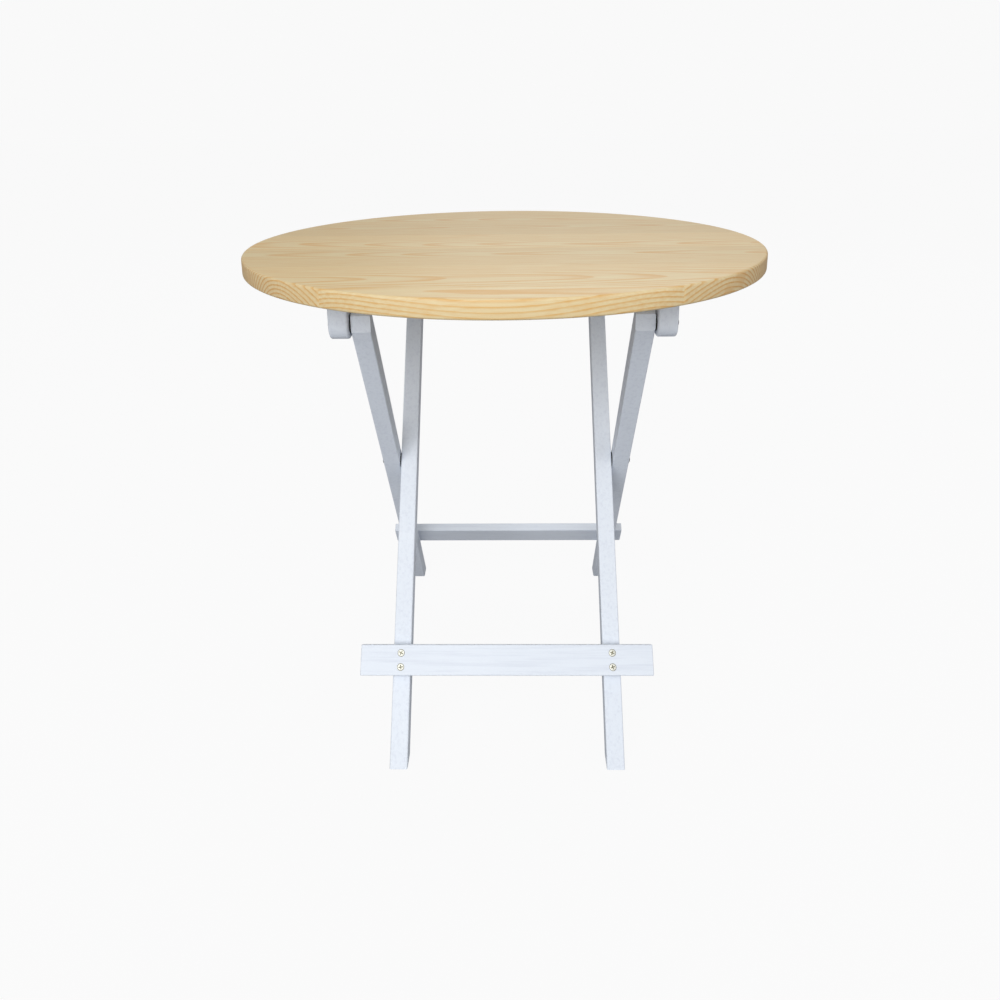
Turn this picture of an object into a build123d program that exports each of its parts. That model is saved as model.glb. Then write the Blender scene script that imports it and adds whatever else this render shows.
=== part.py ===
"""Round folding table: a boarded top hinged to one pair of crossed legs, carried by the other pair.

Frame: origin on the floor under the middle of the top, +X to the right, -Y to the front, +Z up.
The inner legs stand on the front feet and lean back. The outer legs stand on the back feet and
lean forward to the hinge under the top. All lengths are in millimetres, all angles in degrees.
"""
import os
from math import cos, radians, sin, sqrt, tan

from build123d import *

# ---- driving dimensions ------------------------------------------------------------------
TOP_DIAMETER = 600.0
TOP_THICKNESS = 19.0
TABLE_HEIGHT = 570.0
TOP_EASE = 1.5
BOARD_COUNT = 7
BOARD_WIDTH = 103.0
FIRST_JOINT = -251.0

LEAN = 34.5
CROSSING_HEIGHT = 288.0
ARM = 269.5
LEG_WIDTH = 20.5
LEG_DEPTH = 20.5
LEG_EASE = 1.5
INNER_LEG_OUTSIDE = 134.0
SPACER_THICKNESS = 1.5
OUTER_LEG_STUB = 13.0
OUTER_LEG_NOSE = 7.6

STRETCHER_LENGTH = 342.0
STRETCHER_WIDTH = 34.0
STRETCHER_THICKNESS = 12.0
STRETCHER_EASE = 1.2
STRETCHER_RISE = 93.0

BATTEN_WIDTH = 20.5
BATTEN_DEPTH = 30.0
BATTEN_LENGTH = 352.0
EAR_RADIUS = 15.0
BATTEN_EASE = 2.5
RUNNER_LENGTH = 315.0
REST_CLEARANCE = 0.65
STOP_GAP = 0.4
STOP_DEPTH = 20.5

BOLT_RADIUS = 3.0
HEAD_RADIUS = 6.2
HEAD_HEIGHT = 3.0
SOCKET_WIDTH = 4.0
INSERT_RADIUS = 5.0
INSERT_LENGTH = 14.0
SPACER_RADIUS = 9.0
FIT = 0.05

SCREW_HEAD = 8.6
SCREW_SHANK = 4.0
SCREW_ANGLE_DEPTH = 2.6
CROSS_SLOT = 1.1

# ---- derived places ----------------------------------------------------------------------
UNDERSIDE = TABLE_HEIGHT - TOP_THICKNESS
TOP_RADIUS = TOP_DIAMETER / 2
INNER_LEG_INSIDE = INNER_LEG_OUTSIDE - LEG_WIDTH
OUTER_LEG_INSIDE = INNER_LEG_OUTSIDE + SPACER_THICKNESS
OUTER_LEG_OUTSIDE = OUTER_LEG_INSIDE + LEG_WIDTH
BATTEN_INSIDE = OUTER_LEG_OUTSIDE + SPACER_THICKNESS
BATTEN_OUTSIDE = BATTEN_INSIDE + BATTEN_WIDTH
HALF_LEG = LEG_DEPTH / 2
SLOPE = tan(radians(LEAN))
FOOT_DISTANCE = CROSSING_HEIGHT / cos(radians(LEAN))
BACKWARD = 1
FORWARD = -1


def on_leg(way, distance, offset=0.0):
    """Side-view point of a leg: distance up its centre line from the crossing, offset frontward."""
    lean = radians(LEAN)
    along_y = way * sin(lean) * distance
    along_z = cos(lean) * distance
    return (along_y - cos(lean) * offset, CROSSING_HEIGHT + along_z + way * sin(lean) * offset)


HINGE_Y, HINGE_Z = on_leg(FORWARD, ARM)
REST_Y, REST_Z = on_leg(BACKWARD, ARM)
BATTEN_LOW = UNDERSIDE - BATTEN_DEPTH
BATTEN_FRONT = HINGE_Y - EAR_RADIUS


# ---- shared shapes -----------------------------------------------------------------------
def side_solid(face, x_low, x_high):
    """Extrude a side-view (Y, Z) face across the table from x_low to x_high."""
    return extrude(Plane.YZ.offset(x_low) * face, amount=x_high - x_low, dir=(1, 0, 0))


def both_sides(solid):
    """The left and right versions of a solid modelled on the right."""
    return {"left": mirror(solid, about=Plane.YZ), "right": solid}


def eased(solid, radius, shortest):
    """Round the long edges of a bar."""
    return fillet(solid.edges().filter_by(lambda edge: edge.length > shortest), radius)


def floor_cut(way, face_offset):
    """Point where one face of a leg meets the floor."""
    y_crossing, z_crossing = on_leg(way, 0.0, face_offset)
    return (y_crossing - way * SLOPE * z_crossing, 0.0)


def screw(length, gap=0.0, slot=True):
    """Countersunk cross-head wood screw, head on the XY plane, pointing down -Z."""
    head_radius = SCREW_HEAD / 2 + gap
    shank_radius = SCREW_SHANK / 2 + gap
    depth = SCREW_ANGLE_DEPTH + gap
    head = Pos(0, 0, -depth / 2) * Cone(shank_radius, head_radius, depth)
    shank_length = length + gap - depth
    shank = Pos(0, 0, -depth - shank_length / 2) * Cylinder(shank_radius, shank_length)
    body = head + shank
    if slot:
        arm = Box(SCREW_HEAD * 0.56, CROSS_SLOT, 3.0)
        body -= arm + Rot(0, 0, 90) * arm
    return body


def bolt(grip):
    """Domed socket bolt, head on +Z, its shank running down -Z for the grip length."""
    sphere_radius = (HEAD_RADIUS ** 2 + HEAD_HEIGHT ** 2) / (2 * HEAD_HEIGHT)
    ball = Pos(0, 0, HEAD_HEIGHT - sphere_radius) * Sphere(sphere_radius)
    dome = ball & (Pos(0, 0, HEAD_HEIGHT) * Box(40, 40, 2 * HEAD_HEIGHT))
    shank = Pos(0, 0, -grip / 2) * Cylinder(BOLT_RADIUS, grip)
    socket = extrude(Plane.XY.offset(HEAD_HEIGHT) * RegularPolygon(SOCKET_WIDTH / sqrt(3), 6), amount=-2.2)
    return dome + shank - socket


def tube(x_low, x_high, y, z, outer, inner):
    """Ring or sleeve lying along X."""
    place = Pos((x_low + x_high) / 2, y, z) * Rot(0, 90, 0)
    return place * (Cylinder(outer, x_high - x_low) - Cylinder(inner, x_high - x_low))


def rod(x_low, x_high, y, z, radius):
    """Solid cylinder lying along X."""
    return Pos((x_low + x_high) / 2, y, z) * Rot(0, 90, 0) * Cylinder(radius, x_high - x_low)


def screw_set(places, length):
    """Screws standing in the given planes, as separate solids of one node."""
    return Compound(children=[place.location * screw(length) for place in places])


def drilled(solid, places, length):
    """Cut the matching screw holes into a solid."""
    for place in places:
        solid -= place.location * screw(length, FIT, False)
    return solid


# ---- inner legs, front stretcher and crossbar --------------------------------------------
INSERT_DEPTH_X = INNER_LEG_OUTSIDE - INSERT_LENGTH
CROSSBAR_SCREW = 60.0
FRONT_SCREW = 28.0
SCREW_PITCH = 15.5

front_normal = (0.0, -cos(radians(LEAN)), sin(radians(LEAN)))
front_screws = []
for side in (-1, 1):
    for step in (-0.5, 0.5):
        reach = STRETCHER_RISE + STRETCHER_WIDTH / 2 + step * SCREW_PITCH - FOOT_DISTANCE
        y, z = on_leg(BACKWARD, reach, HALF_LEG + STRETCHER_THICKNESS)
        x = side * (INNER_LEG_INSIDE + LEG_WIDTH / 2)
        front_screws.append(Plane(origin=(x, y, z), z_dir=front_normal))

crossbar_screws = []
for side in (-1, 1):
    origin = (side * INNER_LEG_OUTSIDE, REST_Y, REST_Z)
    crossbar_screws.append(Plane(origin=origin, z_dir=(side, 0, 0)))


def inner_leg():
    """Right inner leg: square foot cut level, top end rounded about the crossbar."""
    outline = Polygon(
        floor_cut(BACKWARD, HALF_LEG),
        floor_cut(BACKWARD, -HALF_LEG),
        on_leg(BACKWARD, ARM, -HALF_LEG),
        on_leg(BACKWARD, ARM, HALF_LEG),
        align=None,
    )
    rounded = outline + Pos(REST_Y, REST_Z) * Circle(HALF_LEG)
    leg = eased(side_solid(rounded, INNER_LEG_INSIDE, INNER_LEG_OUTSIDE), LEG_EASE, 100)
    leg -= rod(INSERT_DEPTH_X, INNER_LEG_OUTSIDE, 0, CROSSING_HEIGHT, INSERT_RADIUS + FIT)
    leg = drilled(leg, front_screws, FRONT_SCREW)
    return drilled(leg, crossbar_screws, CROSSBAR_SCREW)


def stretcher(way, face):
    """Flat board across a pair of legs, screwed to their outer face."""
    low = STRETCHER_RISE - FOOT_DISTANCE
    outline = Polygon(
        on_leg(way, low, face * HALF_LEG),
        on_leg(way, low, face * (HALF_LEG + STRETCHER_THICKNESS)),
        on_leg(way, low + STRETCHER_WIDTH, face * (HALF_LEG + STRETCHER_THICKNESS)),
        on_leg(way, low + STRETCHER_WIDTH, face * HALF_LEG),
        align=None,
    )
    board = side_solid(outline, -STRETCHER_LENGTH / 2, STRETCHER_LENGTH / 2)
    return eased(board, STRETCHER_EASE, 5)


def crossbar():
    """Round bar between the inner legs, at the middle of their rounded ends."""
    bar = rod(-INNER_LEG_INSIDE, INNER_LEG_INSIDE, REST_Y, REST_Z, HALF_LEG - LEG_EASE)
    return drilled(bar, crossbar_screws, CROSSBAR_SCREW)


# ---- outer legs and back stretcher -------------------------------------------------------
BACK_SCREW = 28.0

back_normal = (0.0, cos(radians(LEAN)), sin(radians(LEAN)))
back_screws = []
for side in (-1, 1):
    for step in (-0.5, 0.5):
        reach = STRETCHER_RISE + STRETCHER_WIDTH / 2 + step * SCREW_PITCH - FOOT_DISTANCE
        y, z = on_leg(FORWARD, reach, -HALF_LEG - STRETCHER_THICKNESS)
        x = side * (OUTER_LEG_INSIDE + LEG_WIDTH / 2)
        back_screws.append(Plane(origin=(x, y, z), z_dir=back_normal))


def outer_leg():
    """Right outer leg: level foot, top end cut upright in front and rounded behind the hinge."""
    outline = Polygon(
        floor_cut(FORWARD, HALF_LEG),
        floor_cut(FORWARD, -HALF_LEG),
        on_leg(FORWARD, ARM + OUTER_LEG_STUB, -HALF_LEG),
        on_leg(FORWARD, ARM + OUTER_LEG_STUB, HALF_LEG),
        align=None,
    )
    nose_front = HINGE_Y - OUTER_LEG_NOSE
    trim = Pos(nose_front - 50, HINGE_Z) * Rectangle(100, 100)
    leg = side_solid(outline - trim, OUTER_LEG_INSIDE, OUTER_LEG_OUTSIDE)
    back_corner = leg.edges().filter_by(Axis.X).sort_by(Axis.Z)[-1]
    leg = fillet(back_corner, HALF_LEG * 0.7)
    leg = eased(leg, LEG_EASE, 100)
    leg -= rod(OUTER_LEG_INSIDE, OUTER_LEG_OUTSIDE, 0, CROSSING_HEIGHT, BOLT_RADIUS + FIT)
    leg -= rod(OUTER_LEG_OUTSIDE - INSERT_LENGTH, OUTER_LEG_OUTSIDE, HINGE_Y, HINGE_Z, INSERT_RADIUS + FIT)
    return drilled(leg, back_screws, BACK_SCREW)


# ---- top: boards, battens, runners and stop rail -----------------------------------------
BATTEN_SCREW = 40.0
STOP_SCREW = 45.0
STOP_FRONT = REST_Y + HALF_LEG + STOP_GAP
RUNNER_LOW = REST_Z + HALF_LEG + REST_CLEARANCE
RUNNER_BACK = STOP_FRONT + STOP_DEPTH
RUNNER_FRONT = RUNNER_BACK - RUNNER_LENGTH

batten_screws = []
runner_screws = []
for side in (-1, 1):
    for reach in (0.18, 0.52, 0.9):
        x = side * (BATTEN_INSIDE + BATTEN_WIDTH / 2)
        y = BATTEN_FRONT + reach * BATTEN_LENGTH
        batten_screws.append(Plane(origin=(x, y, BATTEN_LOW), z_dir=(0, 0, -1)))
    for reach in (0.08, 0.42, 0.76):
        x = side * (INNER_LEG_INSIDE + LEG_WIDTH / 2)
        y = RUNNER_FRONT + reach * RUNNER_LENGTH
        runner_screws.append(Plane(origin=(x, y, RUNNER_LOW), z_dir=(0, 0, -1)))

stop_screws = []
for side in (-1, 1):
    x = side * (INNER_LEG_INSIDE + LEG_WIDTH / 2)
    origin = (x, STOP_FRONT + STOP_DEPTH / 2, RUNNER_LOW - STOP_DEPTH)
    stop_screws.append(Plane(origin=origin, z_dir=(0, 0, -1)))


def top_disc():
    """The whole round top with eased rims."""
    disc = Pos(0, 0, UNDERSIDE + TOP_THICKNESS / 2) * Cylinder(TOP_RADIUS, TOP_THICKNESS)
    return chamfer(disc.edges().filter_by(GeomType.CIRCLE), TOP_EASE)


def top_boards():
    """Edge-glued boards, running left to right, numbered from the front."""
    disc = top_disc()
    cuts = [-TOP_RADIUS - 1]
    cuts += [FIRST_JOINT + step * BOARD_WIDTH for step in range(BOARD_COUNT - 1)]
    cuts += [TOP_RADIUS + 1]
    boards = {}
    for number in range(BOARD_COUNT):
        front, back = cuts[number], cuts[number + 1]
        middle = Pos(0, (front + back) / 2, UNDERSIDE + TOP_THICKNESS / 2)
        board = disc & (middle * Box(TOP_DIAMETER + 2, back - front, 4 * TOP_THICKNESS))
        above = [place for place in batten_screws + runner_screws if front < place.origin.Y < back]
        boards[f"top_board_{number + 1}"] = drilled(board, above, BATTEN_SCREW)
    return boards


def batten():
    """Right batten: a bar under the top with a rounded ear at its front end around the hinge."""
    bar = Pos(BATTEN_FRONT + BATTEN_LENGTH / 2, BATTEN_LOW + BATTEN_DEPTH / 2) * Rectangle(
        BATTEN_LENGTH, BATTEN_DEPTH
    )
    neck_height = UNDERSIDE - HINGE_Z
    neck = Pos(HINGE_Y, HINGE_Z + neck_height / 2) * Rectangle(2 * EAR_RADIUS, neck_height)
    outline = bar + neck + Pos(HINGE_Y, HINGE_Z) * Circle(EAR_RADIUS)
    piece = side_solid(outline, BATTEN_INSIDE, BATTEN_OUTSIDE)
    middle_x = (BATTEN_INSIDE + BATTEN_OUTSIDE) / 2
    rims = piece.edges().filter_by(lambda edge: abs(edge.center().X - middle_x) > 1)
    piece = fillet(rims.filter_by(lambda edge: edge.center().Z < UNDERSIDE - 1), BATTEN_EASE)
    piece -= rod(BATTEN_INSIDE, BATTEN_OUTSIDE, HINGE_Y, HINGE_Z, BOLT_RADIUS + FIT)
    return drilled(piece, batten_screws, BATTEN_SCREW)


def runner():
    """Right runner: the bar that the rounded top end of an inner leg slides along."""
    height = UNDERSIDE - RUNNER_LOW
    middle = Pos((INNER_LEG_INSIDE + INNER_LEG_OUTSIDE) / 2, RUNNER_FRONT + RUNNER_LENGTH / 2)
    bar = middle * Pos(0, 0, RUNNER_LOW + height / 2) * Box(LEG_WIDTH, RUNNER_LENGTH, height)
    bar = drilled(bar, runner_screws, BATTEN_SCREW)
    return drilled(bar, stop_screws, STOP_SCREW)


def stop_rail():
    """Rail under the back ends of the runners that keeps the inner legs from sliding out."""
    place = Pos(0, STOP_FRONT + STOP_DEPTH / 2, RUNNER_LOW - STOP_DEPTH / 2)
    rail = eased(place * Box(2 * INNER_LEG_OUTSIDE, STOP_DEPTH, STOP_DEPTH), LEG_EASE, 100)
    return drilled(rail, stop_screws, STOP_SCREW)


# ---- hinge hardware ----------------------------------------------------------------------
def hinge_bolt():
    """Right hinge bolt: through the batten and spacer into the outer leg's insert."""
    grip = BATTEN_WIDTH + SPACER_THICKNESS + INSERT_LENGTH - 1
    return Pos(BATTEN_OUTSIDE, HINGE_Y, HINGE_Z) * Rot(0, 90, 0) * bolt(grip)


def crossing_bolt():
    """Right crossing bolt: through the outer leg and spacer into the inner leg's insert."""
    grip = LEG_WIDTH + SPACER_THICKNESS + INSERT_LENGTH - 1
    return Pos(OUTER_LEG_OUTSIDE, 0, CROSSING_HEIGHT) * Rot(0, 90, 0) * bolt(grip)


def insert(x_outside, y, z):
    """Threaded sleeve sunk flush into the outer face of a right leg."""
    return tube(x_outside - INSERT_LENGTH, x_outside, y, z, INSERT_RADIUS, BOLT_RADIUS + FIT)


def spacer(x_low, y, z):
    """Flat spacer washer between two members."""
    return tube(x_low, x_low + SPACER_THICKNESS, y, z, SPACER_RADIUS, BOLT_RADIUS + FIT)


# ---- write one file per sub-part ---------------------------------------------------------
PAIRS = {
    "inner_leg": inner_leg(),
    "outer_leg": outer_leg(),
    "batten": batten(),
    "runner": runner(),
    "hinge_bolt": hinge_bolt(),
    "hinge_insert": insert(OUTER_LEG_OUTSIDE, HINGE_Y, HINGE_Z),
    "hinge_spacer": spacer(OUTER_LEG_OUTSIDE, HINGE_Y, HINGE_Z),
    "crossing_bolt": crossing_bolt(),
    "crossing_insert": insert(INNER_LEG_OUTSIDE, 0, CROSSING_HEIGHT),
    "crossing_spacer": spacer(INNER_LEG_OUTSIDE, 0, CROSSING_HEIGHT),
}

nodes = top_boards()
for name, right in PAIRS.items():
    for side, solid in both_sides(right).items():
        nodes[f"{name}_{side}"] = solid
nodes["front_stretcher"] = drilled(stretcher(BACKWARD, 1), front_screws, FRONT_SCREW)
nodes["front_stretcher_screws"] = screw_set(front_screws, FRONT_SCREW)
nodes["back_stretcher"] = drilled(stretcher(FORWARD, -1), back_screws, BACK_SCREW)
nodes["back_stretcher_screws"] = screw_set(back_screws, BACK_SCREW)
nodes["crossbar"] = crossbar()
nodes["crossbar_screws"] = screw_set(crossbar_screws, CROSSBAR_SCREW)
nodes["stop_rail"] = stop_rail()
nodes["stop_rail_screws"] = screw_set(stop_screws, STOP_SCREW)
nodes["batten_screws"] = screw_set(batten_screws, BATTEN_SCREW)
nodes["runner_screws"] = screw_set(runner_screws, BATTEN_SCREW)

os.makedirs("parts", exist_ok=True)
for name, shape in nodes.items():
    export_step(shape, f"parts/{name}.step")
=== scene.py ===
"""A small round folding table: pine boards on white crossed legs, dark bolts and bright screws.

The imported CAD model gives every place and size. Lengths here are in metres, angles in radians.
"""
import math

import bmesh
import bpy
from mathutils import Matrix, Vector


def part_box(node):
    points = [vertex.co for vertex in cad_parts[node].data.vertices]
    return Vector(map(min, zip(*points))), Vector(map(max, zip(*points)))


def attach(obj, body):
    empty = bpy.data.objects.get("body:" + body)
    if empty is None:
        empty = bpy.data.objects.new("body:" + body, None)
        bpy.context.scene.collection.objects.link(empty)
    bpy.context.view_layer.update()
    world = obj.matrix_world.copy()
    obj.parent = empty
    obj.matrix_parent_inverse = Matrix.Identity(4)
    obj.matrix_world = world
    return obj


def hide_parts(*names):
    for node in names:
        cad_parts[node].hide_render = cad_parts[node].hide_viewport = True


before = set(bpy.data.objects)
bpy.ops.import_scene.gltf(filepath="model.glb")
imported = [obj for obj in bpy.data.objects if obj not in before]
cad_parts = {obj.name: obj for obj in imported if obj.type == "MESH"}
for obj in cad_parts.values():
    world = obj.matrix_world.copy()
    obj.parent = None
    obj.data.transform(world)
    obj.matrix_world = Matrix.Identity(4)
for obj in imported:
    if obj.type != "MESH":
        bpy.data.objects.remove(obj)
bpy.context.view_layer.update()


# ---- white painted frame members ---------------------------------------------------------
# Planed softwood legs, stretchers, rails, battens and runners, their edges softly rounded,
# under two coats of satin white paint. The grain runs along each bar and shows through the
# paint as faint ridges and streaks.
LEAN = math.radians(34.5)  # of every leg, from upright
QUARTER = math.pi / 2
PAINT_COLOUR = (0.75, 0.805, 0.885)
PAINT_SHADE = (0.68, 0.73, 0.82)
PAINT_STREAKS = 260.0
SHADE_TO_COLOUR = (0.30, 0.52)
PAINT_ROUGHNESS = (0.36, 0.56)
PAINT_RIDGES = (0.22, 0.0006)  # strength and height
FIBRE_STRETCH = (0.035, 1.0, 1.0)
FIBRE_DETAIL = 6.0
FIBRE_HARSHNESS = 0.62
BLOTCH_SCALE = 14.0
BLOTCH_DETAIL = 3.0
paint_by_piece = {
    "paint_along_inner_leg": ((0, QUARTER - LEAN, -QUARTER), ["inner_leg_left", "inner_leg_right"]),
    "paint_along_outer_leg": ((0, QUARTER + LEAN, -QUARTER), ["outer_leg_left", "outer_leg_right"]),
    "paint_across": ((0, 0, 0), ["front_stretcher", "back_stretcher", "crossbar", "stop_rail"]),
    "paint_front_to_back": (
        (0, 0, -QUARTER),
        ["batten_left", "batten_right", "runner_left", "runner_right"],
    ),
}


def vector_step(nodes, links, operation, first, second=None):
    """One vector sum. Its second term is a plain triple of numbers or another node's output."""
    step = nodes.new("ShaderNodeVectorMath")
    step.operation = operation
    links.new(first, step.inputs[0])
    if isinstance(second, tuple):
        step.inputs[1].default_value = second
    elif second is not None:
        links.new(second, step.inputs[1])
    return step


def ranged(nodes, links, value, result, span=(0.0, 1.0)):
    """The value's span, spread over the result's low and high ends."""
    spread = nodes.new("ShaderNodeMapRange")
    spread.inputs["From Min"].default_value = span[0]
    spread.inputs["From Max"].default_value = span[1]
    spread.inputs["To Min"].default_value = result[0]
    spread.inputs["To Max"].default_value = result[1]
    links.new(value, spread.inputs["Value"])
    return spread.outputs["Result"]


def noise(nodes, links, vector, scale, detail, roughness=0.5):
    """Soft random pattern. The scale is a plain number or another node's output."""
    pattern = nodes.new("ShaderNodeTexNoise")
    pattern.inputs["Detail"].default_value = detail
    pattern.inputs["Roughness"].default_value = roughness
    links.new(vector, pattern.inputs["Vector"])
    if isinstance(scale, float):
        pattern.inputs["Scale"].default_value = scale
    else:
        links.new(scale, pattern.inputs["Scale"])
    return pattern


def build_fibre_group():
    """Long wood fibres along X, once a Mapping node has turned the piece that way."""
    group = bpy.data.node_groups.new("wood_fibres", "ShaderNodeTree")
    group.interface.new_socket("Vector", in_out="INPUT", socket_type="NodeSocketVector")
    group.interface.new_socket("Fineness", in_out="INPUT", socket_type="NodeSocketFloat")
    group.interface.new_socket("Streaks", in_out="OUTPUT", socket_type="NodeSocketFloat")
    group.interface.new_socket("Blotches", in_out="OUTPUT", socket_type="NodeSocketFloat")
    nodes, links = group.nodes, group.links
    inlet = nodes.new("NodeGroupInput")
    outlet = nodes.new("NodeGroupOutput")
    vector = inlet.outputs["Vector"]
    stretched = vector_step(nodes, links, "MULTIPLY", vector, FIBRE_STRETCH).outputs[0]
    streaks = noise(nodes, links, stretched, inlet.outputs["Fineness"], FIBRE_DETAIL, FIBRE_HARSHNESS)
    blotches = noise(nodes, links, vector, BLOTCH_SCALE, BLOTCH_DETAIL)
    links.new(streaks.outputs["Fac"], outlet.inputs["Streaks"])
    links.new(blotches.outputs["Fac"], outlet.inputs["Blotches"])
    return group


wood_fibres = build_fibre_group()


def placed_group(nodes, links, tree, vector, **values):
    """A shared pattern placed in a material, with its own values."""
    placed = nodes.new("ShaderNodeGroup")
    placed.node_tree = tree
    for socket_name, value in values.items():
        placed.inputs[socket_name].default_value = value
    links.new(vector, placed.inputs["Vector"])
    return placed


def new_material(name):
    material = bpy.data.materials.new(name)
    material.use_nodes = True
    shader = material.node_tree.nodes["Principled BSDF"]
    return material, material.node_tree.nodes, material.node_tree.links, shader


def turned_coordinates(nodes, links, location=(0, 0, 0), rotation=(0, 0, 0)):
    """The piece's own coordinates, moved and turned so that X runs along its grain."""
    place = nodes.new("ShaderNodeTexCoord")
    mapping = nodes.new("ShaderNodeMapping")
    mapping.inputs["Location"].default_value = location
    mapping.inputs["Rotation"].default_value = rotation
    links.new(place.outputs["Object"], mapping.inputs["Vector"])
    return mapping.outputs["Vector"]


def shade_to_colour(nodes, links, factor, shade, colour, positions):
    """Shade below the first position, the full colour above the second."""
    ramp = nodes.new("ShaderNodeValToRGB")
    for element, position, tone in zip(ramp.color_ramp.elements, positions, (shade, colour)):
        element.position = position
        element.color = (*tone, 1)
    links.new(factor, ramp.inputs["Fac"])
    return ramp.outputs["Color"]


def add_ridges(nodes, links, shader, height, ridges):
    """Fine relief in the finish, by the height pattern."""
    strength, distance = ridges
    bump = nodes.new("ShaderNodeBump")
    bump.inputs["Strength"].default_value = strength
    bump.inputs["Distance"].default_value = distance
    links.new(height, bump.inputs["Height"])
    links.new(bump.outputs["Normal"], shader.inputs["Normal"])


def paint(name, rotation):
    """Satin white paint over grain that the rotation lays along the piece."""
    material, nodes, links, shader = new_material(name)
    vector = turned_coordinates(nodes, links, rotation=rotation)
    fibres = placed_group(nodes, links, wood_fibres, vector, Fineness=PAINT_STREAKS)
    streaks = fibres.outputs["Streaks"]
    colour = shade_to_colour(nodes, links, streaks, PAINT_SHADE, PAINT_COLOUR, SHADE_TO_COLOUR)
    links.new(colour, shader.inputs["Base Color"])
    sheen = ranged(nodes, links, fibres.outputs["Blotches"], PAINT_ROUGHNESS)
    links.new(sheen, shader.inputs["Roughness"])
    add_ridges(nodes, links, shader, streaks, PAINT_RIDGES)
    return material


def dress(node, material):
    """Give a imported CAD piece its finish."""
    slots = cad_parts[node].data.materials
    slots.clear()
    slots.append(material)


for paint_name, (rotation, painted_nodes) in paint_by_piece.items():
    painted = paint(paint_name, rotation)
    for node in painted_nodes:
        dress(node, painted)


# ---- pine top ----------------------------------------------------------------------------
# Seven edge-glued pine boards, cut to a disc with rounded rims, sanded and varnished. Each
# board comes from another place in the log, so its rings lie round a different pith line.
EARLY_WOOD = (0.755, 0.64, 0.385)
LATE_WOOD = (0.68, 0.40, 0.13)
END_GRAIN = (0.56, 0.27, 0.075)
TONE_SPREAD = 0.035  # boards differ in tone by up to this share
TONE_START = 0.6
TONE_STEP = 2.4
RING_PITCH = 0.0043
RING_WANDER = 0.012
RING_DRIFT_STRETCH = (1.0, 3.2, 3.2)
RING_DRIFT_SCALE = 4.2
RING_DRIFT_DETAIL = 2.5
RING_DRIFT_HARSHNESS = 0.4
NOISE_MIDDLE = (0.5, 0.5, 0.5)
ACROSS_THE_LOG = (0.0, 1.0, 1.0)
# how dark the wood is across one ring, from 0 where it starts to 1 where the next one starts
RING_DARKNESS = [(0.0, 0.10), (0.45, 0.06), (0.80, 0.75), (0.93, 0.95), (1.0, 0.0)]
RINGS_ON_FACE_AND_END = (0.62, 0.95)
PINE_STREAKS = 420.0
PINE_STREAK_SPAN = (0.3, 0.7)
PINE_STREAK_DARKNESS = (0.0, 0.46)
FLECK_STRETCH = (0.20, 1.2, 0.5)
FLECK_SCALE = 30.0
FLECK_DETAIL = 1.5
FLECK_SPAN = (0.60, 0.70)
FLECK_DARKNESS = (0.0, 0.55)
PINE_ROUGHNESS = (0.42, 0.60)
PINE_RIDGES = (0.12, 0.0005)  # strength and height
VARNISH_COAT = 0.12
VARNISH_ROUGHNESS = 0.35
# pith line of each board, front to back: how far behind the board's middle, how far below its
# face, and the angle at which it leaves the face along the board, a share of it sideways
pith_lines = [
    (0.004, 0.060, 0.020),
    (-0.012, 0.048, -0.045),
    (0.016, 0.040, 0.040),
    (-0.020, 0.052, 0.050),
    (0.018, 0.036, -0.035),
    (-0.012, 0.056, 0.045),
    (0.020, 0.042, -0.030),
]
SIDEWAYS_SHARE = 0.4
LENGTH_OF_LOG_BETWEEN_BOARDS = 0.37
DISC_VERTICES = 256
RIM_ROUND = 0.0024
RIM_SEGMENTS = 4
RIM_CREASE = math.radians(40)
GLUE_LINE = 0.0001
TOUCHING = 1e-6


def number_step(nodes, links, operation, first, second):
    """One sum of numbers. The second term is a plain number or another node's output."""
    step = nodes.new("ShaderNodeMath")
    step.operation = operation
    links.new(first, step.inputs[0])
    if isinstance(second, float):
        step.inputs[1].default_value = second
    else:
        links.new(second, step.inputs[1])
    return step.outputs[0]


def build_ring_group():
    """Growth rings round the X axis: 0 to 1 from each ring's start to the next one's."""
    group = bpy.data.node_groups.new("growth_rings", "ShaderNodeTree")
    group.interface.new_socket("Vector", in_out="INPUT", socket_type="NodeSocketVector")
    group.interface.new_socket("Wander", in_out="INPUT", socket_type="NodeSocketFloat")
    group.interface.new_socket("Pitch", in_out="INPUT", socket_type="NodeSocketFloat")
    group.interface.new_socket("Rings", in_out="OUTPUT", socket_type="NodeSocketFloat")
    nodes, links = group.nodes, group.links
    inlet = nodes.new("NodeGroupInput")
    outlet = nodes.new("NodeGroupOutput")
    vector = inlet.outputs["Vector"]
    slow = vector_step(nodes, links, "MULTIPLY", vector, RING_DRIFT_STRETCH).outputs[0]
    drift = noise(
        nodes, links, slow, RING_DRIFT_SCALE, RING_DRIFT_DETAIL, RING_DRIFT_HARSHNESS
    ).outputs["Color"]
    centred = vector_step(nodes, links, "SUBTRACT", drift, NOISE_MIDDLE).outputs[0]
    moved = vector_step(nodes, links, "SCALE", centred)
    links.new(inlet.outputs["Wander"], moved.inputs["Scale"])
    place = vector_step(nodes, links, "ADD", vector, moved.outputs[0]).outputs[0]
    flat = vector_step(nodes, links, "MULTIPLY", place, ACROSS_THE_LOG).outputs[0]
    reach = vector_step(nodes, links, "LENGTH", flat).outputs["Value"]
    count = number_step(nodes, links, "DIVIDE", reach, inlet.outputs["Pitch"])
    ring = nodes.new("ShaderNodeMath")
    ring.operation = "FRACT"
    links.new(count, ring.inputs[0])
    links.new(ring.outputs[0], outlet.inputs["Rings"])
    return group


growth_rings = build_ring_group()


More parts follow.
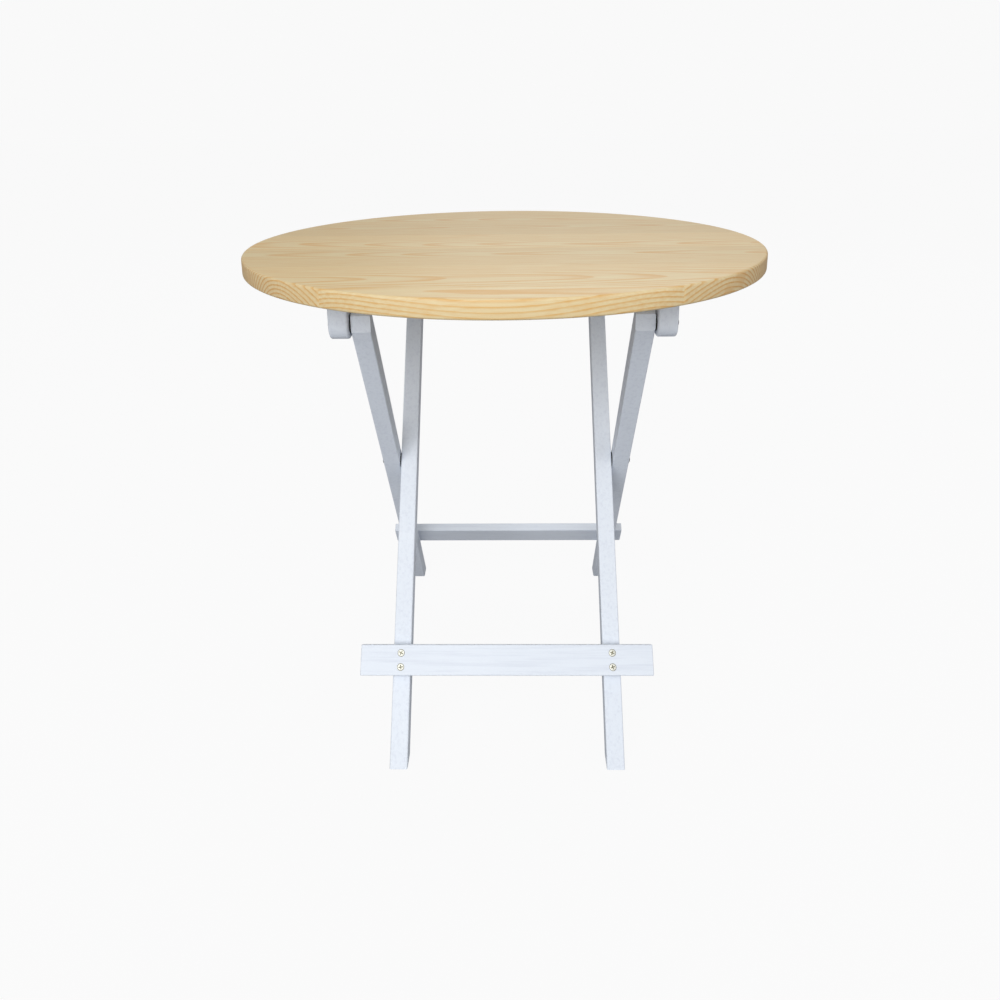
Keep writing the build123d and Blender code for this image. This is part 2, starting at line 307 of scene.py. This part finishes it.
def colour_mix(nodes, links, factor, first, second):
    """First colour to second. The second is a plain colour or another node's output."""
    mix = nodes.new("ShaderNodeMix")
    mix.data_type = "RGBA"
    links.new(factor, mix.inputs["Factor"])
    for socket, colour in ((mix.inputs["A"], first), (mix.inputs["B"], second)):
        if isinstance(colour, tuple):
            socket.default_value = (*colour, 1)
        else:
            links.new(colour, socket)
    return mix.outputs["Result"]


def pine(number, middle_y, top_z):
    """Varnished pine for one board, with its rings round the board's own pith line."""
    back, below, tilt = pith_lines[number]
    material, nodes, links, shader = new_material(f"pine_board_{number + 1}")
    vector = turned_coordinates(
        nodes,
        links,
        location=(LENGTH_OF_LOG_BETWEEN_BOARDS * number, -(middle_y + back), -(top_z - below)),
        rotation=(0, tilt, SIDEWAYS_SHARE * tilt),
    )
    rings = placed_group(nodes, links, growth_rings, vector, Wander=RING_WANDER, Pitch=RING_PITCH)
    fibres = placed_group(nodes, links, wood_fibres, vector, Fineness=PINE_STREAKS)
    streaks = fibres.outputs["Streaks"]

    # light wood that darkens slowly through each ring and ends sharply
    band = nodes.new("ShaderNodeFloatCurve")
    curve = band.mapping.curves[0]
    curve.points[0].location = RING_DARKNESS[0]
    curve.points[1].location = RING_DARKNESS[-1]
    for place, darkness in RING_DARKNESS[1:-1]:
        curve.points.new(place, darkness)
    band.mapping.update()
    links.new(rings.outputs["Rings"], band.inputs["Value"])

    # rings are strongest on the end grain, where the rim faces along the board
    facing = nodes.new("ShaderNodeNewGeometry")
    direction = nodes.new("ShaderNodeSeparateXYZ")
    links.new(facing.outputs["Normal"], direction.inputs["Vector"])
    endward = number_step(nodes, links, "POWER", direction.outputs["X"], 2.0)
    strength = ranged(nodes, links, endward, RINGS_ON_FACE_AND_END)
    faint = ranged(nodes, links, streaks, PINE_STREAK_DARKNESS, PINE_STREAK_SPAN)
    grain = nodes.new("ShaderNodeMath")
    grain.operation = "MULTIPLY_ADD"
    links.new(band.outputs["Value"], grain.inputs[0])
    links.new(strength, grain.inputs[1])
    links.new(faint, grain.inputs[2])

    # orange flecks where the cut runs along a ring
    fleck_place = vector_step(nodes, links, "MULTIPLY", vector, FLECK_STRETCH).outputs[0]
    fleck_noise = noise(nodes, links, fleck_place, FLECK_SCALE, FLECK_DETAIL).outputs["Fac"]
    flecks = ranged(nodes, links, fleck_noise, FLECK_DARKNESS, FLECK_SPAN)
    amount = number_step(nodes, links, "MAXIMUM", grain.outputs[0], flecks)

    tone = 1.0 + TONE_SPREAD * math.sin(TONE_STEP * number + TONE_START)
    early = tuple(tone * channel for channel in EARLY_WOOD)
    late = tuple(tone * channel for channel in LATE_WOOD)
    dark_wood = colour_mix(nodes, links, endward, late, END_GRAIN)
    colour = colour_mix(nodes, links, amount, early, dark_wood)
    links.new(colour, shader.inputs["Base Color"])
    shader.inputs["Coat Weight"].default_value = VARNISH_COAT
    shader.inputs["Coat Roughness"].default_value = VARNISH_ROUGHNESS
    sheen = ranged(nodes, links, streaks, PINE_ROUGHNESS)
    links.new(sheen, shader.inputs["Roughness"])
    add_ridges(nodes, links, shader, grain.outputs[0], PINE_RIDGES)
    return material


disc_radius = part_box("top_board_4")[1][0]
for number in range(len(pith_lines)):
    node = f"top_board_{number + 1}"
    low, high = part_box(node)
    bpy.ops.object.select_all(action="DESELECT")
    bpy.ops.mesh.primitive_cylinder_add(
        vertices=DISC_VERTICES,
        radius=disc_radius,
        depth=high[2] - low[2],
        location=(0, 0, (high[2] + low[2]) / 2),
    )
    board = bpy.context.object
    board.name = f"pine_board_{number + 1}"
    bpy.ops.object.transform_apply(location=True, rotation=True, scale=True)
    bpy.ops.object.mode_set(mode="EDIT")
    bpy.ops.mesh.select_all(action="DESELECT")
    mesh = bmesh.from_edit_mesh(board.data)
    for edge in mesh.edges:
        if abs(edge.verts[0].co.z - edge.verts[1].co.z) < TOUCHING:
            edge.select = True
    bmesh.update_edit_mesh(board.data)
    bpy.ops.mesh.bevel(offset=RIM_ROUND, segments=RIM_SEGMENTS, affect="EDGES")
    for cut_y, keep_back in ((low[1] + GLUE_LINE, True), (high[1] - GLUE_LINE, False)):
        if abs(cut_y) < disc_radius - RIM_ROUND:
            bpy.ops.mesh.select_all(action="SELECT")
            bpy.ops.mesh.bisect(
                plane_co=(0, cut_y, 0),
                plane_no=(0, 1, 0),
                use_fill=True,
                clear_inner=keep_back,
                clear_outer=not keep_back,
            )
    bpy.ops.mesh.select_all(action="SELECT")
    bpy.ops.mesh.normals_make_consistent(inside=False)
    bpy.ops.object.mode_set(mode="OBJECT")
    bpy.ops.object.shade_smooth_by_angle(angle=RIM_CREASE)
    board.data.materials.append(pine(number, (low[1] + high[1]) / 2, high[2]))
    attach(board, "tabletop")
    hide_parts(node)


# ---- dark bolts and spacers --------------------------------------------------------------
# Black-oxide steel: domed socket bolts at the top hinge and at the crossing, with flat
# spacer washers in the gaps between the members.
BLACK_OXIDE = (0.045, 0.045, 0.05)
MOTTLE_SCALE = 900.0
MOTTLE_DETAIL = 4.0
MOTTLE_SHADE = 0.82
MOTTLE_TO_COLOUR = (0.35, 0.65)


def metal(name, colour, metallic, roughness, spread):
    """Plated or blackened steel, finely mottled, whose roughness varies by the spread."""
    material, nodes, links, shader = new_material(name)
    shader.inputs["Metallic"].default_value = metallic
    vector = turned_coordinates(nodes, links)
    mottle = noise(nodes, links, vector, MOTTLE_SCALE, MOTTLE_DETAIL).outputs["Fac"]
    shade = tuple(MOTTLE_SHADE * channel for channel in colour)
    tint = shade_to_colour(nodes, links, mottle, shade, colour, MOTTLE_TO_COLOUR)
    links.new(tint, shader.inputs["Base Color"])
    dull = ranged(nodes, links, mottle, (roughness - spread, roughness + spread))
    links.new(dull, shader.inputs["Roughness"])
    return material


black_steel = metal("black_oxide_steel", BLACK_OXIDE, 1.0, 0.42, 0.12)
for side in ("left", "right"):
    for part in ("hinge_bolt", "crossing_bolt", "hinge_spacer", "crossing_spacer"):
        dress(f"{part}_{side}", black_steel)


# ---- bright inserts and hidden screws ----------------------------------------------------
# Zinc-plated threaded inserts sunk in the legs, and the countersunk screws that hold the
# battens, runners, stop rail, crossbar and back stretcher.
ZINC = (0.66, 0.65, 0.60)
zinc = metal("zinc_plate", ZINC, 1.0, 0.34, 0.10)
for side in ("left", "right"):
    dress(f"hinge_insert_{side}", zinc)
    dress(f"crossing_insert_{side}", zinc)
for part in ("batten", "runner", "stop_rail", "crossbar", "back_stretcher"):
    dress(f"{part}_screws", zinc)


# ---- front stretcher screws --------------------------------------------------------------
# Four yellowish zinc wood screws, two through the board into each inner leg. Each has a flat
# countersunk head with a cross slot, and sits a hair below the paint in its countersink. The
# head's rounded rim and the slot carry a dark olive painted shade for the shadow that lies there.
BRIGHT_ZINC = (0.78, 0.78, 0.70)
# dark olive painted shade for the heads' rims and cross slots, where the countersink gap and the
# slots lie in shadow
RIM_AND_SLOT_SHADE = (0.26, 0.245, 0.15)
SCREW_SIDES = 48
SCREW_CREASE = math.radians(30)
SCREW_HEAD_RADIUS = 0.0042
SCREW_RIM = 0.0006
SCREW_NECK_RADIUS = 0.0019
SCREW_HEAD_THICKNESS = 0.0007
SCREW_CONE_DEPTH = 0.0021
SCREW_LENGTH = 0.026
SCREW_POINT = 0.005
POINT_NARROWING = 0.2
SCREW_SUNK = 0.00012
SLOT_LENGTH = 0.0048
SLOT_WIDTH = 0.0011
SLOT_DEPTH = 0.0017
SAME_FACE = 1e-5
FIRST_SLOT_TURN = math.radians(10)
SLOT_TURN_STEP = math.radians(50)
leg_outward = Vector((0, -math.cos(LEAN), math.sin(LEAN)))
leg_upward = Vector((0, math.sin(LEAN), math.cos(LEAN)))


def screw_heads(node):
    """Middle of each screw's face, from the CAD screws' own points."""
    points = [vertex.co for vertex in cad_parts[node].data.vertices]
    face = max(point.dot(leg_outward) for point in points)
    rim = [point for point in points if face - point.dot(leg_outward) < SAME_FACE]
    middle = sum(rim, Vector()) / len(rim)
    heads = []
    for side in (-1, 1):
        for step in (-1, 1):
            own = [
                point
                for point in rim
                if side * (point.x - middle.x) > 0 and step * (point - middle).dot(leg_upward) > 0
            ]
            low = Vector([min(point[axis] for point in own) for axis in range(3)])
            high = Vector([max(point[axis] for point in own) for axis in range(3)])
            heads.append((low + high) / 2)
    return heads


bright_zinc = metal("bright_zinc_head", BRIGHT_ZINC, 0.3, 0.42, 0.08)
# painted shade for the rims and slots, which lie in the shadow of the countersink and the slot walls
painted_rim_shade = metal("painted_shade_rim", RIM_AND_SLOT_SHADE, 0.5, 0.50, 0.08)


def screw_blank():
    """A screw before its slot is cut, with its face on the XY plane, pointing down -Z."""
    bpy.ops.object.select_all(action="DESELECT")
    bpy.ops.mesh.primitive_cylinder_add(
        vertices=SCREW_SIDES,
        radius=SCREW_HEAD_RADIUS,
        depth=SCREW_HEAD_THICKNESS,
        location=(0, 0, -SCREW_HEAD_THICKNESS / 2),
    )
    blank = bpy.context.object
    bpy.ops.object.transform_apply(location=True, rotation=True, scale=True)
    bpy.ops.object.mode_set(mode="EDIT")
    bpy.ops.mesh.select_all(action="DESELECT")
    mesh = bmesh.from_edit_mesh(blank.data)
    for face in mesh.faces:
        face.select = face.normal.z < -0.9
    bmesh.update_edit_mesh(blank.data)
    for depth, narrowing in (
        (SCREW_CONE_DEPTH, SCREW_NECK_RADIUS / SCREW_HEAD_RADIUS),
        (SCREW_LENGTH - SCREW_CONE_DEPTH - SCREW_POINT, 1.0),
        (SCREW_POINT, POINT_NARROWING),
    ):
        bpy.ops.mesh.extrude_region_move(TRANSFORM_OT_translate={"value": (0, 0, -depth)})
        bpy.ops.transform.resize(value=(narrowing, narrowing, 1))
    bpy.ops.mesh.select_all(action="DESELECT")
    mesh = bmesh.from_edit_mesh(blank.data)
    for edge in mesh.edges:
        edge.select = all(vertex.co.z > -TOUCHING for vertex in edge.verts)
    bmesh.update_edit_mesh(blank.data)
    bpy.ops.mesh.bevel(offset=SCREW_RIM, segments=2, affect="EDGES")
    bpy.ops.object.mode_set(mode="OBJECT")
    blank.data.materials.append(bright_zinc)
    blank.data.materials.append(painted_rim_shade)
    # the flat face stays bright, and the rounded rim and the shank take the painted shade
    for face in blank.data.polygons:
        face.material_index = 0 if face.normal.z > 0.95 else 1
    return blank


def cut_cross_slot(screw, slot_turn):
    """A cross cut into the head, its floor and walls in the same dark painted shade as the rim."""
    for turn in (slot_turn, slot_turn + QUARTER):
        bpy.ops.object.select_all(action="DESELECT")
        bpy.ops.mesh.primitive_cube_add(size=1, location=(0, 0, 0), rotation=(0, 0, turn))
        slot = bpy.context.object
        slot.scale = (SLOT_LENGTH, SLOT_WIDTH, 2 * SLOT_DEPTH)
        slot.data.materials.append(bright_zinc)
        slot.data.materials.append(painted_rim_shade)
        # the slot's walls and floor take the painted shade
        for face in slot.data.polygons:
            face.material_index = 1
        cut = screw.modifiers.new("cross_slot", "BOOLEAN")
        cut.operation = "DIFFERENCE"
        cut.object = slot
        bpy.context.view_layer.objects.active = screw
        bpy.ops.object.modifier_apply(modifier=cut.name)
        bpy.data.objects.remove(slot)


blank = screw_blank()
for number, head in enumerate(screw_heads("front_stretcher_screws")):
    bpy.ops.object.select_all(action="DESELECT")
    blank.select_set(True)
    bpy.context.view_layer.objects.active = blank
    bpy.ops.object.duplicate()
    screw = bpy.context.object
    screw.name = f"front_screw_{number + 1}"
    cut_cross_slot(screw, FIRST_SLOT_TURN + SLOT_TURN_STEP * number)
    screw.rotation_euler = leg_outward.to_track_quat("Z", "X").to_euler()
    screw.location = head - SCREW_SUNK * leg_outward
    bpy.ops.object.select_all(action="DESELECT")
    screw.select_set(True)
    bpy.context.view_layer.objects.active = screw
    bpy.ops.object.transform_apply(location=True, rotation=True, scale=True)
    bpy.ops.object.shade_smooth_by_angle(angle=SCREW_CREASE)
    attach(screw, "inner_frame")
    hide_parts("front_stretcher_screws")
bpy.data.objects.remove(blank)


# ---- floor, light and camera -------------------------------------------------------------
# A plain pale floor that runs off to the horizon and is clear from below, so that the underside
# can be seen, with broad soft lamps in front, at the right and behind. It takes in the lowest
# hair's breadth of the feet, which keeps their soles lit from below.
FLOOR_HEIGHT = 0.0002
FLOOR_SIZE = 40
FLOOR_COLOUR = (0.30, 0.30, 0.31, 1)
FLOOR_ROUGHNESS = 0.9
WHITE = (1.0, 1.0, 1.0, 1)
FLOOR_GLOW = 1.035
FLOOR_GLOW_SHARE = 0.90
LIGHT_AND_BACKDROP = (0.42, 0.948)
TABLE_MIDDLE = Vector((0, 0, 0.30))
LAMP_SIZE = 2.2
lamps = {
    "key_lamp": ((-0.8, -2.7, 1.65), 64.0),
    "fill_lamp": ((2.3, -1.5, 1.5), 16.0),
    "back_lamp": ((0.4, 2.4, 2.6), 26.0),
}
CAMERA_PLACE = (0.0127, -0.9605, 0.7245)
CAMERA_DOWNWARD = math.radians(16.05)
CAMERA_ROLL = math.radians(0.68)
CAMERA_PAN = math.radians(0.92)

bpy.ops.object.select_all(action="DESELECT")
bpy.ops.mesh.primitive_plane_add(size=FLOOR_SIZE, location=(0, 0, FLOOR_HEIGHT))
floor = bpy.context.object
floor.name = "studio_floor"
bpy.ops.object.transform_apply(location=True, rotation=True, scale=True)
floor_material, floor_nodes, floor_links, floor_shader = new_material("pale_floor")
floor_shader.inputs["Base Color"].default_value = FLOOR_COLOUR
floor_shader.inputs["Roughness"].default_value = FLOOR_ROUGHNESS
glow = floor_nodes.new("ShaderNodeEmission")
glow.inputs["Color"].default_value = WHITE
glow.inputs["Strength"].default_value = FLOOR_GLOW
floor_seen = floor_nodes.new("ShaderNodeLightPath").outputs["Is Camera Ray"]
glow_share = number_step(floor_nodes, floor_links, "MULTIPLY", floor_seen, FLOOR_GLOW_SHARE)
blend = floor_nodes.new("ShaderNodeMixShader")
floor_links.new(glow_share, blend.inputs["Fac"])
floor_links.new(floor_shader.outputs["BSDF"], blend.inputs[1])
floor_links.new(glow.outputs["Emission"], blend.inputs[2])
from_below = floor_nodes.new("ShaderNodeNewGeometry")
clear = floor_nodes.new("ShaderNodeBsdfTransparent")
open_below = floor_nodes.new("ShaderNodeMixShader")
floor_links.new(from_below.outputs["Backfacing"], open_below.inputs["Fac"])
floor_links.new(blend.outputs["Shader"], open_below.inputs[1])
floor_links.new(clear.outputs["BSDF"], open_below.inputs[2])
floor_links.new(open_below.outputs["Shader"], floor_nodes["Material Output"].inputs["Surface"])
floor.data.materials.append(floor_material)

world = bpy.data.worlds.new("studio")
world.use_nodes = True
world_nodes, world_links = world.node_tree.nodes, world.node_tree.links
background = world_nodes["Background"]
background.inputs["Color"].default_value = WHITE
backdrop_seen = world_nodes.new("ShaderNodeLightPath").outputs["Is Camera Ray"]
backdrop = ranged(world_nodes, world_links, backdrop_seen, LIGHT_AND_BACKDROP)
world_links.new(backdrop, background.inputs["Strength"])
bpy.context.scene.world = world
bpy.context.scene.view_settings.view_transform = "Standard"

for lamp_name, (place, power) in lamps.items():
    lamp_data = bpy.data.lights.new(lamp_name, "AREA")
    lamp_data.size = LAMP_SIZE
    lamp_data.energy = power
    lamp = bpy.data.objects.new(lamp_name, lamp_data)
    lamp.location = place
    lamp.rotation_euler = (TABLE_MIDDLE - Vector(place)).to_track_quat("-Z", "Y").to_euler()
    bpy.context.scene.collection.objects.link(lamp)

camera_data = bpy.data.cameras.new("camera")
camera_data.sensor_width = 36.0
camera_data.lens = 29.17
camera_data.shift_y = -0.16
camera = bpy.data.objects.new("camera", camera_data)
camera.location = CAMERA_PLACE
camera.rotation_euler = (QUARTER - CAMERA_DOWNWARD, CAMERA_ROLL, CAMERA_PAN)
bpy.context.scene.collection.objects.link(camera)
bpy.context.scene.camera = camera
